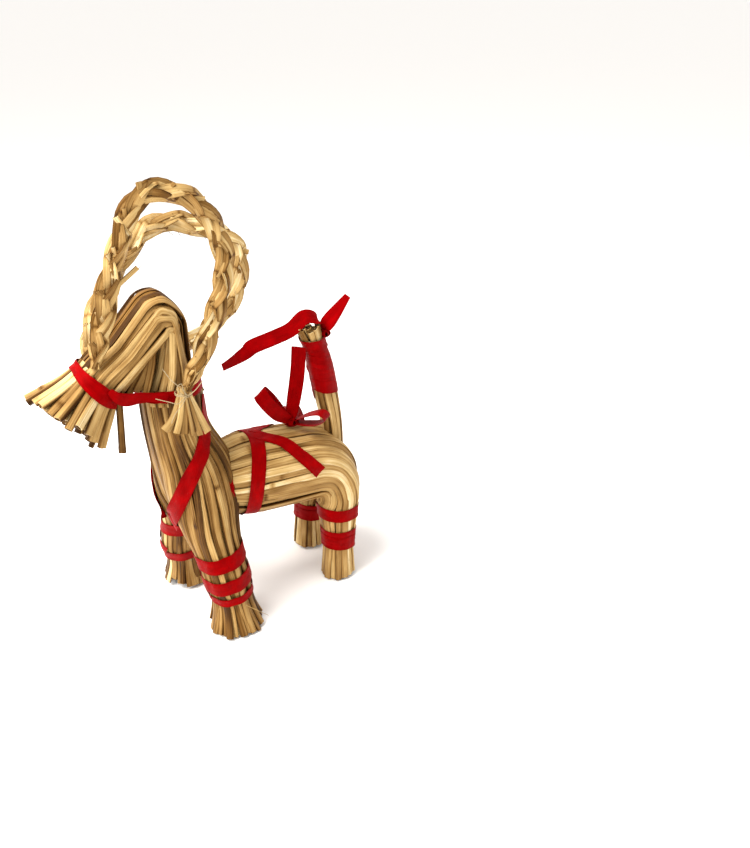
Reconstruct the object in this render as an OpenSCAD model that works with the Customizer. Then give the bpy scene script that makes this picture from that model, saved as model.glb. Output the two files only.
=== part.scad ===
// Straw yule goat: sheaves of straw bound with thread and red ribbon, with two plaited horns.
// The goat faces -Y, its left side is +X, and the floor is z = 0. Millimetres.

/* [Front] */
// Radius of the neck at its tie
neck_r = 19; // [17:0.5:21]
// Sideways distance of each front foot from the middle
front_stance = 34; // [30:1:38]
// Radius of a front hoof at the floor
front_hoof_r = 17; // [14:0.5:19]
// How far the left front foot stands behind the middle, and the right one before it
front_step = 3; // [0:0.5:5]

/* [Body] */
// Radius of the body sheaf at its thickest
body_r = 28.5; // [26:0.5:30]
// How far the body turns to the goat's left behind the neck, in degrees
body_yaw = 2.5; // [0:0.5:5]
// Sideways distance of each hind foot from the body's middle
hind_stance = 23; // [20:1:26]
// Radius of a hind hoof at the floor
hind_hoof_r = 12.5; // [11:0.5:15]

/* [Horns] */
// Width of one flat strand of a horn's plait
strand_w = 7.5; // [5:0.5:8]
// Thickness of one strand
strand_t = 2.4; // [1.6:0.2:3.2]
// Length along the horn in which a strand comes back to the same side
plait_pitch = 62; // [45:1:75]

/* [Straw] */
// Depth of the grooves between neighbouring straws
groove = 1.2; // [0.6:0.1:1.6]

/* [Ribbon and thread] */
// Width of the wide satin ribbon
ribbon_w = 10; // [8:0.5:12]
// Thickness of the ribbon as laid
ribbon_t = 0.6; // [0.4:0.1:0.8]
// Radius of the binding thread
thread_r = 0.6; // [0.4:0.1:0.8]

/* [Hidden] */
LEFT = 1;
RIGHT = -1;
straw_colour = [0.82, 0.66, 0.38];
horn_colour = [0.86, 0.72, 0.45];
ribbon_colour = [0.72, 0.03, 0.04];
thread_colour = [0.88, 0.82, 0.68];
lift = 0.4; // how far a ribbon lies off the straw
y_middle = 10.8; // the middle of the goat's length, behind the middle of the front feet
bend_gap = 1.5; // radius of the straw at the inside of a fold

// The sheaves' cross sections: [x, y, z, tilt, half width, half depth]. A section at tilt 0 lies flat,
// and one at 90 stands up across the body.
function front_sections(side) = let (step = side * front_step) [
    [0, -12, 171, 0, neck_r, neck_r],
    [1, -11, 147, 0, neck_r + 0.5, neck_r + 0.5],
    [5, -4.5, 120, 0, 21, 23.5],
    [12, -3, 95, 0, 18.5, 22.5],
    [17.5, -3, 76, 0, 16.2, 19],
    [22, step * 0.3 - 3, 62, 0, 15, 16.5],
    [26, step * 0.7 - 3, 50, 0, 15, 15.5],
    [28.5, step - 2.5, 36, 0, 15, 15.5],
    [31, step - 1, 22, 0, 13.5, 13.5],
    [front_stance, step, 0, 0, front_hoof_r, front_hoof_r]
];
head_pivot = [-14, 208];
muzzle_tilt = 128;
muzzle_r = 15;
muzzle = [0, -54, 189];
head_sections = concat(
    [[0, -12, 172, 0, neck_r - 0.5, neck_r - 0.5], [0, -10, 188, 0, 17.5, 11.7]],
    [for (s = [[10, 15], [45, 16.5], [70, 21], [92, 27.5], [112, 26], [muzzle_tilt, 24]])
        fan_section(0, head_pivot, s[0], s[1], 18)],
    [[0, -37, 203, muzzle_tilt, 16.5, 13], [muzzle.x, muzzle.y, muzzle.z, muzzle_tilt, muzzle_r, muzzle_r]]
);
beard_sections = [
    [0, -54.6, 188.4, muzzle_tilt, muzzle_r - 0.5, muzzle_r - 0.5],
    [0, -63, 178.5, 134, 19, 20],
    [0, -76, 162.5, 139, 24, 29]
];
body_sections = [
    [0, 20, 96, 90, body_r - 3, body_r - 3],
    [0, 34, 95, 90, body_r, body_r],
    [0, 60, 92, 90, body_r, body_r],
    [0, 79.5, 89.5, 90, body_r - 0.5, body_r - 0.5]
];
rump_pivot = [80, 60.5];
hind_sections = concat(
    [for (s = [[90, 56, 0, 27.5], [65, 49, 3, 24.5], [40, 41, 9, 19], [15, 34, 14, 16.5]])
        fan_section(s[2], rump_pivot, s[0], s[1], s[3])],
    [
        [17, 96, 56, 0, 14.5, 14.5],
        [20, 94.5, 44, 0, 12.5, 13],
        [22, 93, 30, 0, 11, 11],
        [22.5, 92.5, 22, 0, 11, 11],
        [hind_stance, 92, 0, 0, hind_hoof_r, hind_hoof_r]
    ]
);
tail_sections = [
    [-1, 103, 99, 0, 8.5, 8.5],
    [-1, 102, 118, 0, 8.5, 8.5],
    [-1, 98, 142, 0, 9, 9],
    [-1, 94.5, 162, 0, 9, 9],
    [-1, 91.5, 176, 0, 8, 8],
    [-1, 86, 191, 0, 9.5, 9.5]
];

// The horns' centre lines, from the muzzle tie over the head to the neck
left_horn = [
    [10, -57, 201], [13, -52, 222], [15.5, -44.5, 246], [18, -36, 270], [19.5, -26, 290], [20, -13, 296],
    [20, 3, 291], [20, 14, 281], [20, 21, 266], [20, 23, 249], [20, 19, 232], [21.5, 9, 210], [24, -3, 190],
    [25, -13, 179]
];
right_horn = [
    [-9, -56, 197], [-12, -47, 222], [-14, -35, 241], [-15.5, -19, 257], [-16, -4, 268], [-16, 11, 268],
    [-15, 24, 263], [-14, 39, 256], [-14, 49, 243], [-14, 48, 226], [-15, 40, 209], [-18, 26, 197],
    [-21, 14, 188], [-24, 6, 180]
];
plait_side = 3.6; // how far a strand swings to each side of the plait
plait_depth = 2; // how far it swings through the plait's thickness
left_tuft = [[25, -13, 179, 0, 4.5, 4.5], [25, -14, 172, 0, 5.5, 9], [25.5, -15, 152, 0, 5, 14.5]];
right_tuft = [[24, 6, 180, 0, 4.5, 4.5], [24.5, 6, 173, 0, 5.5, 9], [25.5, 5, 152, 0, 5, 15]];

// Back bow and tail bow: centre lines of the ribbon, and the direction of its width
back_knot = [0, 70.5, 123];
tail_knot = [1, 97, 184];
back_loop_front = [
    [0, 69, 125.5], [2, 60, 133], [3, 52, 142], [2, 48, 149], [0, 49, 153], [-2, 54, 152], [-3, 60, 143],
    [-1, 67.5, 127]
];
back_loop_side = [
    [0, 72, 124], [9, 78, 131], [18, 84, 135], [21, 87, 131], [15, 83, 126], [7, 77, 124], [0, 72, 123]
];
back_end_up = [[0, 70, 126], [0, 72, 135], [0, 75.3, 150], [0, 77.5, 163], [0, 79, 178]];
back_end_side = [[0, 71, 124], [-14, 77, 125], [-27, 85, 119], [-35, 92, 107], [-40, 97, 91]];
tail_end_front = [
    [1, 97, 186], [1, 93, 195], [0, 84, 198], [-1, 74, 191], [-1, 61, 188], [-2, 47, 185], [-3, 25, 175]
];
tail_end_back = [[1, 97, 186], [2, 100, 191], [3, 105, 197], [4, 114, 206.5]];

// Basic helpers
function unit(v) = v / norm(v);
function fan_section(x, pivot, tilt, depth, half_w) = let (mid = bend_gap + depth / 2)
    [x, pivot[0] + mid * cos(tilt), pivot[1] + mid * sin(tilt), tilt, half_w, depth / 2];
function spline_at(p, k, t) = let (
        a = p[max(k - 1, 0)], b = p[k], c = p[k + 1], d = p[min(k + 2, len(p) - 1)]
    ) 0.5 * (2 * b + (c - a) * t + (2 * a - 5 * b + 4 * c - d) * t * t + (3 * b - a - 3 * c + d) * t * t * t);
function smooth(p, steps) = concat(
    [for (k = [0 : len(p) - 2]) for (j = [0 : steps - 1]) spline_at(p, k, j / steps)], [p[len(p) - 1]]);
function direction(p, k) = unit(p[min(k + 1, len(p) - 1)] - p[max(k - 1, 0)]);
function along(p, k = 0, s = 0) = k == len(p) - 1
    ? [s]
    : concat([s], along(p, k + 1, s + norm(p[k + 1] - p[k])));

// A closed solid through rings of points that all have the same count. With twin, the second half of the
// sides is split along the other diagonal, so that a thin strip's two faces stay parallel where it twists.
module loft(rings, flip = false, loop = false, twin = false) {
    n = len(rings[0]);
    m = len(rings);
    last = loop ? m - 1 : m - 2;
    sides = [for (j = [0 : last]) for (k = [0 : n - 1]) let (
            here = j * n,
            next = (j + 1) % m * n,
            k1 = (k + 1) % n
        ) each twin && k >= n / 2
            ? [[here + k, next + k, next + k1], [here + k, next + k1, here + k1]]
            : [[here + k, next + k, here + k1], [here + k1, next + k, next + k1]]];
    ends = loop ? [] : [[for (k = [0 : n - 1]) k], [for (k = [n - 1 : -1 : 0]) (m - 1) * n + k]];
    all_faces = concat(sides, ends);
    faces = flip ? [for (f = all_faces) [for (i = [len(f) - 1 : -1 : 0]) f[i]]] : all_faces;
    polyhedron([for (r = rings) each r], faces, convexity = 6);
}

// One cross section of a sheaf, with a groove between neighbouring straws. A half sheaf stops at the middle.
function sheaf_ring(s, straws, side, half, depth) = [for (k = [0 : 3 * straws - 1]) let (
        a = 120 * k / straws,
        flat = half && s[0] + s[4] * cos(a) < 2,
        f = k % 3 == 0 && !flat ? 1 - depth / min(s[4], s[5]) : 1,
        x = s[0] + s[4] * f * cos(a),
        v = s[5] * f * sin(a)
    ) [side * (half ? max(x, 0) : x), s[1] + v * cos(s[3]), s[2] + v * sin(s[3])]];
module sheaf(sections, straws, side = LEFT, half = false, depth = groove) {
    loft([for (s = sections) sheaf_ring(s, straws, side, half, depth)], flip = side == RIGHT);
}

// A flat strip along p. w holds the half width at each point, as a vector.
function strip_ring(p, w, up) = [p - w - up, p + w - up, p + w + up, p - w + up];
module strip(p, w, t = ribbon_t, loop = false) {
    m = len(p);
    function ahead(k) = loop ? unit(p[(k + 1) % m] - p[(k + m - 1) % m]) : direction(p, k);
    rings = [for (k = [0 : m - 1]) strip_ring(p[k], w[k], unit(cross(ahead(k), w[k])) * t / 2)];
    loft(rings, loop = loop, twin = true);
}
module free_ribbon(points, across, width = ribbon_w, steps = 3) {
    p = smooth(points, steps);
    strip(p, [for (k = [0 : len(p) - 1]) let (
            d = direction(p, k), side = across - (across * d) * d
        ) unit(side) * width / 2]);
}

// A ribbon wound on a sheaf from one angle and height to another, at a distance off the straw
function section_at(sections, z) = [for (c = [0, 1, 4, 5]) lookup(z, [for (s = sections) [s[2], s[c]]])];
function wound_point(sections, side, angle, z, off) = let (s = section_at(sections, z))
    [side * (s[0] + (s[2] + off) * cos(angle)), s[1] + (s[3] + off) * sin(angle), z];
module wound(sections, side, a0, a1, z0, z1, width, sag = 0, steps = 20) {
    turn = a1 - a0;
    whole = turn == 360;
    p = [for (k = [0 : whole ? steps - 1 : steps]) let (a = a0 + turn * k / steps)
        wound_point(sections, side, a, z0 + (z1 - z0) * k / steps + sag * sin(a), lift + ribbon_t / 2)];
    strip(p, [for (q = p) [0, 0, width / 2]], loop = whole);
}

// A horn's plait: three strands that swing from side to side, each half a thickness over or under the next
function plait_point(p, along_p, k, phase) = let (
        d = direction(p, k),
        out = unit([1, 0, 0] - (d.x) * d),
        over = cross(d, out),
        a = 360 * along_p[k] / plait_pitch + phase
    ) p[k] + over * plait_side * sin(a) + out * plait_depth * sin(2 * a);
module horn_strand(line, number) {
    p = smooth(line, 4);
    s = along(p);
    q = [for (k = [0 : len(p) - 1]) plait_point(p, s, k, 120 * number)];
    loft([for (k = [0 : len(q) - 1]) let (
            d = direction(q, k),
            out = unit([1, 0, 0] - (d.x) * d),
            over = cross(d, out)
        ) [for (a = [0 : 60 : 300]) q[k] + over * strand_w / 2 * cos(a) + out * strand_t / 1.73 * sin(a)]]);
}

// Turns of thread side by side round a sheaf's waist
module thread_turns(r, turns) {
    for (k = [0 : turns - 1])
        translate([0, 0, (k - (turns - 1) / 2) * 2.1 * thread_r])
            rotate_extrude($fn = 48) translate([r + thread_r, 0]) circle(thread_r, $fn = 16);
}
module behind_neck() {
    rotate([0, 0, -body_yaw]) children();
}
module straw() {
    color(straw_colour) children();
}
module satin() {
    color(ribbon_colour) children();
}
module thread() {
    color(thread_colour) children();
}
module placed() {
    translate([0, -y_middle, 0]) children();
}

// Straw
module head_fold() placed() straw() sheaf(head_sections, 16);
module beard() placed() straw() sheaf(beard_sections, 16);
module beard_long_straw() placed() straw()
    translate([12, -47, 178]) rotate([176, 0, 0]) cylinder(h = 33, r = 2, $fn = 24);
module front_leg_sheaf(side) placed() straw() sheaf(front_sections(side), 16, side, half = true);
module body_sheaf() placed() behind_neck() straw() sheaf(body_sections, 24);
module hind_leg_sheaf(side) placed() behind_neck() straw() sheaf(hind_sections, 14, side, half = true);
module tail_sheaf() placed() behind_neck() straw() sheaf(tail_sections, 10);
module horn(line, number) placed() color(horn_colour) horn_strand(line, number);
module horn_tuft(sections, side) placed() color(horn_colour) sheaf(sections, 9, side, depth = 0.8);

// Ribbon
module muzzle_ribbon() placed() satin() {
    along_muzzle = [0, -sin(muzzle_tilt), cos(muzzle_tilt)];
    up_muzzle = [0, cos(muzzle_tilt), sin(muzzle_tilt)];
    r = muzzle_r + lift + ribbon_t / 2;
    ring = [for (a = [0 : 18 : 342]) muzzle + r * ([cos(a), 0, 0] + up_muzzle * sin(a))];
    strip(ring, [for (q = ring) along_muzzle * ribbon_w / 2], loop = true);
}
module neck_ribbon() placed() satin() {
    neck_band_w = 7;
    neck_band_z = 175;
    for (side = [LEFT, RIGHT]) {
        wound(front_sections(side), side, 90, -90, neck_band_z, neck_band_z, neck_band_w, steps = 10);
        link = [[side * 11, -46, 181], [side * 15, -37, 177], [side * 18.5, -24, neck_band_z]];
        free_ribbon(link, [0, 0, 1], 6);
    }
}
chest_left_route = [[65, 166], [45, 152], [6, 134], [-30, 117], [-58, 97], [-78, 82], [-96, 68]];
chest_right_route = [[115, 166], [150, 152], [190, 134], [216, 116], [230, 100], [240, 84], [246, 72]];
function chest_point(route) = let (s = section_at(front_sections(LEFT), route[1]), off = lift + ribbon_t / 2)
    [(s[0] + s[2] + off) * cos(route[0]), s[1] + (s[3] + off) * sin(route[0]), route[1]];
module chest_ribbon(route) placed() satin() {
    p = smooth([for (r = route) chest_point(r)], 4);
    strip(p, [for (k = [0 : len(p) - 1]) let (
            away = unit([p[k].x, p[k].y - section_at(front_sections(LEFT), p[k].z)[1], 0])
        ) unit(cross(direction(p, k), away)) * ribbon_w / 2]);
}
module front_left_leg_ribbon() placed() satin() {
    leg = front_sections(LEFT);
    wound(leg, LEFT, 0, 360, 56, 56, ribbon_w, sag = 1.5);
    wound(leg, LEFT, 0, 360, 39.5, 39.5, ribbon_w, sag = 1.5);
    wound(leg, LEFT, 0, 360, 27.5, 27.5, 5.5, sag = 1);
    wound(leg, LEFT, 185, 270, 39, 28, 5, steps = 6);
}
module front_right_leg_ribbon() placed() satin() {
    leg = front_sections(RIGHT);
    wound(leg, RIGHT, 0, 360, 58.5, 58.5, ribbon_w, sag = 1.5);
    wound(leg, RIGHT, 0, 360, 32, 32, ribbon_w - 2, sag = 1.5);
    wound(leg, RIGHT, 30, -110, 54, 36, 7, steps = 10);
}
hind_leg_sections = [for (k = [4 : len(hind_sections) - 1]) hind_sections[k]];
module hind_leg_ribbon(side) placed() behind_neck() satin() {
    wound(hind_leg_sections, side, 0, 360, 54, 54, ribbon_w - 1, sag = -1);
    wound(hind_leg_sections, side, 0, 360, 33, 33, ribbon_w + 1, sag = -1);
}
function body_point(angle, y) = let (
        s = [for (c = [2, 4]) lookup(y, [for (b = body_sections) [b[1], b[c]]])],
        r = s[1] + lift + ribbon_t / 2
    ) [r * cos(angle), y, s[0] + r * sin(angle)];
module body_ribbon() placed() behind_neck() satin() {
    from_top = [[0, 41], [15, 40.5], [45, 35.5], [68, 31], [107, 27], [180, 25.5]];
    p = [for (a = [-180 : 15 : 165]) body_point(90 + a, lookup(abs(a), from_top))];
    strip(p, [for (k = [0 : len(p) - 1]) let (
            ahead = unit(p[(k + 1) % len(p)] - p[(k + len(p) - 1) % len(p)]),
            away = unit([p[k].x, 0, p[k].z - 94])
        ) unit(cross(ahead, away)) * ribbon_w / 2], loop = true);
}
module body_cross_ribbon(side) placed() behind_neck() satin() {
    route = [[88, 41], [76, 48], [62, 57], [40, 65], [20, 73], [10, 77]];
    p = smooth([for (r = route) body_point(side == LEFT ? r[0] : 180 - r[0], r[1]) + [0, 0, 0.8]], 3);
    strip(p, [for (k = [0 : len(p) - 1]) let (
            away = unit([p[k].x, 0, p[k].z - 92])
        ) unit(cross(direction(p, k), away)) * ribbon_w * 0.45]);
}
module knot(place, size) translate(place) scale(size) sphere(1, $fn = 24);
module back_bow_knot() placed() behind_neck() satin() knot(back_knot, 4.2);
module back_bow_loops() placed() behind_neck() satin() {
    free_ribbon(back_loop_front, [0.35, 0.55, 0.6]);
    free_ribbon(back_loop_side, [-0.6, 0.8, 0]);
}
module back_bow_ends() placed() behind_neck() satin() {
    free_ribbon(back_end_up, [0.55, 0.82, 0]);
    free_ribbon(back_end_side, [0.5, 0.85, 0]);
}
module tail_ribbon() placed() behind_neck() satin() {
    wound(tail_sections, LEFT, 0, 360, 180, 180, 8, sag = 1);
    for (top = [171, 159, 147])
        wound(tail_sections, LEFT, -90, 270, top, top - 11, ribbon_w, steps = 23);
}
module tail_bow_knot() placed() behind_neck() satin() knot(tail_knot, 4);
module tail_bow_ends() placed() behind_neck() satin() {
    free_ribbon(tail_end_front, [-0.6, -0.1, 0.7]);
    free_ribbon(tail_end_back, [0.7, 0.45, -0.55]);
}

// Thread
module horn_tie_thread(line) placed() thread() translate(line[len(line) - 1]) thread_turns(4.6, 3);
module muzzle_binding_thread() placed() thread()
    translate(muzzle) rotate([muzzle_tilt, 0, 0]) thread_turns(muzzle_r - 2.2, 3);
module neck_binding_thread() placed() thread() translate([0, -12, 171]) thread_turns(neck_r - 2.2, 3);
module front_leg_binding_threads() placed() thread()
    for (side = [LEFT, RIGHT]) translate([side * 30.4, side * front_step - 1.4, 26]) thread_turns(11.5, 3);
module hind_leg_binding_threads() placed() behind_neck() thread()
    for (side = [LEFT, RIGHT]) translate([side * 21.7, 93.1, 33]) thread_turns(9, 3);
module body_front_binding_thread() placed() behind_neck() thread()
    translate([0, 26, 95.6]) rotate([90, 0, 0]) thread_turns(body_r - 5, 3);
module body_rear_binding_thread() placed() behind_neck() thread()
    translate([0, 77, 89.8]) rotate([90, 0, 0]) thread_turns(body_r - 4, 3);
module tail_binding_thread() placed() behind_neck() thread() translate([-1, 90, 180]) thread_turns(7, 3);

head_fold();
beard();
beard_long_straw();
front_leg_sheaf(LEFT);  // front_left_leg_sheaf
front_leg_sheaf(RIGHT);  // front_right_leg_sheaf
body_sheaf();
hind_leg_sheaf(LEFT);  // hind_left_leg_sheaf
hind_leg_sheaf(RIGHT);  // hind_right_leg_sheaf
tail_sheaf();
horn(left_horn, 0);  // left_horn_strand_1
horn(left_horn, 1);  // left_horn_strand_2
horn(left_horn, 2);  // left_horn_strand_3
horn(right_horn, 0);  // right_horn_strand_1
horn(right_horn, 1);  // right_horn_strand_2
horn(right_horn, 2);  // right_horn_strand_3
horn_tuft(left_tuft, LEFT);  // left_horn_tuft
horn_tuft(right_tuft, RIGHT);  // right_horn_tuft
muzzle_ribbon();
neck_ribbon();
chest_ribbon(chest_left_route);  // chest_ribbon_left
chest_ribbon(chest_right_route);  // chest_ribbon_right
front_left_leg_ribbon();
front_right_leg_ribbon();
hind_leg_ribbon(LEFT);  // hind_left_leg_ribbon
hind_leg_ribbon(RIGHT);  // hind_right_leg_ribbon
body_ribbon();
body_cross_ribbon(LEFT);  // body_cross_ribbon_left
body_cross_ribbon(RIGHT);  // body_cross_ribbon_right
back_bow_knot();
back_bow_loops();
back_bow_ends();
tail_ribbon();
tail_bow_knot();
tail_bow_ends();
horn_tie_thread(left_horn);  // left_horn_tie_thread
horn_tie_thread(right_horn);  // right_horn_tie_thread
muzzle_binding_thread();
neck_binding_thread();
front_leg_binding_threads();
hind_leg_binding_threads();
body_front_binding_thread();
body_rear_binding_thread();
tail_binding_thread();
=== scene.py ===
"""Straw yule goat: the look of its straw, plaits, satin ribbon and thread.

All shapes are worked out in millimetres in the goat's own frame, as in part.scad: the goat faces -Y, its left
side is +X and the floor is z = 0. place() turns them into metres in the row frame.
"""

from math import asin, cos, pi, radians, sin

import bpy
import numpy as np
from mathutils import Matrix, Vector
from mathutils.bvhtree import BVHTree


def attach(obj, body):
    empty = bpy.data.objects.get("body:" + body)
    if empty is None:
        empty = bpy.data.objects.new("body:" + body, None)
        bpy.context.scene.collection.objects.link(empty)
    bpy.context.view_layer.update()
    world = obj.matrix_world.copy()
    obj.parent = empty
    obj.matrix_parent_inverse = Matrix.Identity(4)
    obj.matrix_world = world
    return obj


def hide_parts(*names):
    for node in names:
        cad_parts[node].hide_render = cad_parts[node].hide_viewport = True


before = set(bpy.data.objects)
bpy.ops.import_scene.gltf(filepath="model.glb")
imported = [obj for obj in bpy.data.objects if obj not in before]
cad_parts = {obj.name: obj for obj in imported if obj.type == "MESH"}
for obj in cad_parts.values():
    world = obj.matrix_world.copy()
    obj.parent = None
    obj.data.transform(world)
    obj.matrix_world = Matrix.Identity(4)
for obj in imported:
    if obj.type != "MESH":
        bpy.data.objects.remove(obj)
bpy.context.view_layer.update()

MM = 0.001
Y_MIDDLE = 10.8  # middle of the goat's length, behind the middle of its front feet
BODY_YAW = radians(2.5)  # the body's turn behind the neck
LEFT, RIGHT = 1, -1
rng = np.random.default_rng(2612)
uniform = rng.uniform

# ---- camera, light and floor

CAMERA_AT = (0.4593, -0.1893, 0.405)
CAMERA_LOOK = (-0.7183, 0.5030, -0.4808)
CAMERA_LENS = 36.08
FLOOR_HALF = 40.0  # m, so that its edge is out of sight


def linked(name, data):
    made = bpy.data.objects.new(name, data)
    bpy.context.collection.objects.link(made)
    return made


def aimed(name, data, at, look):
    """A camera or a light at a place, turned to look along a direction."""
    made = linked(name, data)
    made.location = at
    made.rotation_mode = "QUATERNION"
    made.rotation_quaternion = Vector(look).to_track_quat("-Z", "Y")
    return made


def make_camera():
    data = bpy.data.cameras.new("camera")
    data.lens, data.sensor_width, data.sensor_fit = CAMERA_LENS, 36.0, "AUTO"
    data.clip_start, data.clip_end = 0.01, 200
    bpy.context.scene.camera = aimed("camera", data, CAMERA_AT, CAMERA_LOOK)


def area_light(name, at, target, size, watts, colour):
    data = bpy.data.lights.new(name, "AREA")
    data.shape, data.size, data.energy, data.color = "SQUARE", size, watts, colour
    aimed(name, data, at, Vector(target) - Vector(at))


def make_light():
    """A light tent: pale light from all sides, and a large soft lamp above on the camera's left."""
    world = bpy.data.worlds.new("tent")
    bpy.context.scene.world = world
    world.use_nodes = True
    background = world.node_tree.nodes["Background"]
    background.inputs["Color"].default_value = (1.0, 0.985, 0.965, 1)
    background.inputs["Strength"].default_value = 1.0
    middle = (0, 0, 0.15)
    area_light("tent_top", (-0.05, -0.42, 0.95), middle, 0.60, 17.0, (1, 0.98, 0.95))
    area_light("tent_left", (0.10, -0.85, 0.55), middle, 0.35, 4.5, (1, 0.99, 0.97))
    bpy.context.scene.view_settings.view_transform = "Standard"


def make_floor():
    mesh = bpy.data.meshes.new("floor")
    corners = [(x * FLOOR_HALF, y * FLOOR_HALF, 0) for x, y in ((-1, -1), (1, -1), (1, 1), (-1, 1))]
    mesh.from_pydata(corners, [], [(0, 1, 2, 3)])
    n = Nodes("tent_cloth")
    n.looks({"Base Color": (0.98, 0.965, 0.945, 1), "Roughness": 0.9})
    mesh.materials.append(n.material)
    linked("floor", mesh)


# ---- materials

SEEDS = 90.0  # how far apart the noise of two straws or ribbons can be


class Nodes:
    """Short hand for building a material's node tree."""

    def __init__(self, name):
        self.material = bpy.data.materials.new(name)
        self.material.use_nodes = True
        self.tree = self.material.node_tree
        self.shader = self.tree.nodes["Principled BSDF"]

    def put(self, socket, value):
        if isinstance(value, bpy.types.NodeSocket):
            self.tree.links.new(value, socket)
        else:
            socket.default_value = value

    def new(self, kind, inputs=None, **settings):
        node = self.tree.nodes.new(kind)
        for key, value in settings.items():
            setattr(node, key, value)
        for key, value in (inputs or {}).items():
            self.put(node.inputs[key], value)
        return node

    def math(self, operation, a, b):
        return self.new("ShaderNodeMath", {0: a, 1: b}, operation=operation).outputs[0]

    def add(self, a, b):
        return self.math("ADD", a, b)

    def times(self, a, b):
        return self.math("MULTIPLY", a, b)

    def looks(self, inputs):
        for key, value in inputs.items():
            self.put(self.shader.inputs[key], value)

    def split(self, attribute):
        read = self.new("ShaderNodeAttribute", attribute_name=attribute)
        parts = self.new("ShaderNodeSeparateXYZ", {0: read.outputs["Vector"]})
        return read.outputs["Vector"], parts.outputs

    def noise(self, vector, stretch, seed, detail=3.0, roughness=0.55):
        scaled = self.new("ShaderNodeVectorMath", {0: vector, 1: stretch}, operation="MULTIPLY").outputs[0]
        return self.new(
            "ShaderNodeTexNoise",
            {"Vector": scaled, "W": seed, "Scale": 1.0, "Detail": detail, "Roughness": roughness},
            noise_dimensions="4D",
        ).outputs["Fac"]

    def ramp(self, factor, stops):
        node = self.new("ShaderNodeValToRGB", {"Fac": factor})
        marks = node.color_ramp.elements
        while len(marks) < len(stops):
            marks.new(0.5)
        for mark, (place, colour) in zip(marks, stops):
            mark.position, mark.color = place, (*colour, 1)
        return node.outputs["Color"]

    def mix(self, factor, a, b):
        node = self.new("ShaderNodeMix", data_type="RGBA")
        self.put(node.inputs["Factor"], factor)
        self.put(node.inputs[6], a)
        self.put(node.inputs[7], b)
        return node.outputs[2]

    def bump(self, height, distance, strength, after=None):
        node = self.new("ShaderNodeBump", {"Height": height, "Distance": distance, "Strength": strength})
        if after is not None:
            self.put(node.inputs["Normal"], after)
        return node.outputs["Normal"]


def straw_material(name, lift, streak):
    """Dry straw: fine ribs along it, darker flecks, and painted shade that deepens inside the cut ends. The mesh
    gives each point its place on the straw in mm (lie) and the straw's shade, with painted shadow, painted shade
    at folds and a painted rim highlight in it, its seed and how deep inside it is (tone). streak is how strongly
    the ribs show."""
    n = Nodes(name)
    lie, _ = n.split("lie")
    _, tone = n.split("tone")
    shade, seed, inside = tone[0], n.times(tone[1], SEEDS), tone[2]
    ribs = n.noise(lie, (2.6, 2.6, 0.018), seed, 2.0, 0.6)
    fibre = n.noise(lie, (0.9, 0.9, 0.03), seed, 3.0, 0.6)
    cloud = n.noise(lie, (0.18, 0.18, 0.05), seed, 2.0, 0.5)
    fleck = n.noise(lie, (1.5, 1.5, 0.22), seed, 2.0, 0.5)
    level = n.add(n.times(shade, 0.95), lift - 0.55 - 0.5 * streak)
    for part, amount in ((ribs, streak), (fibre, 0.5), (cloud, 0.6)):
        level = n.add(level, n.times(part, amount))
    colour = n.ramp(
        level,
        [
            (0.0, (0.042, 0.014, 0.002)),
            (0.22, (0.15, 0.067, 0.013)),
            (0.5, (0.35, 0.198, 0.063)),
            (0.75, (0.57, 0.38, 0.15)),
            (1.0, (0.84, 0.70, 0.42)),
        ],
    )
    flecks = n.ramp(fleck, [(0.27, (1, 1, 1)), (0.33, (0, 0, 0))])
    colour = n.mix(n.times(flecks, 0.45), colour, (0.15, 0.07, 0.022, 1))
    # painted shade: darker brown deep inside a straw's cut end, where the bore lies in shade
    colour = n.mix(inside, colour, (0.16, 0.078, 0.022, 1))
    n.looks({
        "Base Color": colour,
        "Roughness": n.add(n.times(ribs, 0.3), 0.3),
        "Specular IOR Level": 0.14,
        "Specular Tint": (1.0, 0.80, 0.50, 1),
        "Normal": n.bump(fibre, 0.0007, 0.6, n.bump(ribs, 0.0005, 0.8)),
    })
    return n.material


def satin_material():
    """Red satin ribbon: weft ribs across it, a faint cloudiness along it, and a tighter woven edge."""
    n = Nodes("red_satin")
    lie, _ = n.split("lie")
    _, tone = n.split("tone")
    seed, edge = n.times(tone[1], SEEDS), tone[2]
    weft = n.new(
        "ShaderNodeTexWave",
        {"Vector": lie, "Scale": 1.05, "Distortion": 0.6, "Detail": 1.0, "Detail Scale": 2.0},
        bands_direction="Z",
    ).outputs["Fac"]
    warp = n.noise(lie, (5.0, 5.0, 0.10), seed, 2.0)
    cloud = n.noise(lie, (0.25, 0.25, 0.12), seed, 2.0)
    level = n.add(n.times(warp, 0.35), n.times(cloud, 0.55))
    level = n.add(level, n.times(tone[0], 0.25))
    reds = [(0.35, (0.13, 0.0001, 0.0004)), (0.6, (0.23, 0.0002, 0.0008)), (0.85, (0.37, 0.0005, 0.0014))]
    colour = n.ramp(level, reds)
    colour = n.mix(n.times(edge, 0.6), colour, (0.16, 0.0001, 0.0004, 1))
    fine = n.bump(warp, 0.00008, 0.4, n.bump(weft, 0.00006, 0.5))
    n.looks({
        "Base Color": colour,
        "Roughness": n.add(n.times(warp, 0.2), 0.42),
        "Specular IOR Level": 0.08,
        "Specular Tint": (1.0, 0.06, 0.05, 1),
        "Sheen Weight": 0.03,
        "Sheen Roughness": 0.4,
        "Sheen Tint": (1.0, 0.02, 0.02, 1),
        "Normal": n.bump(edge, 0.0001, 0.5, fine),
    })
    return n.material


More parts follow.
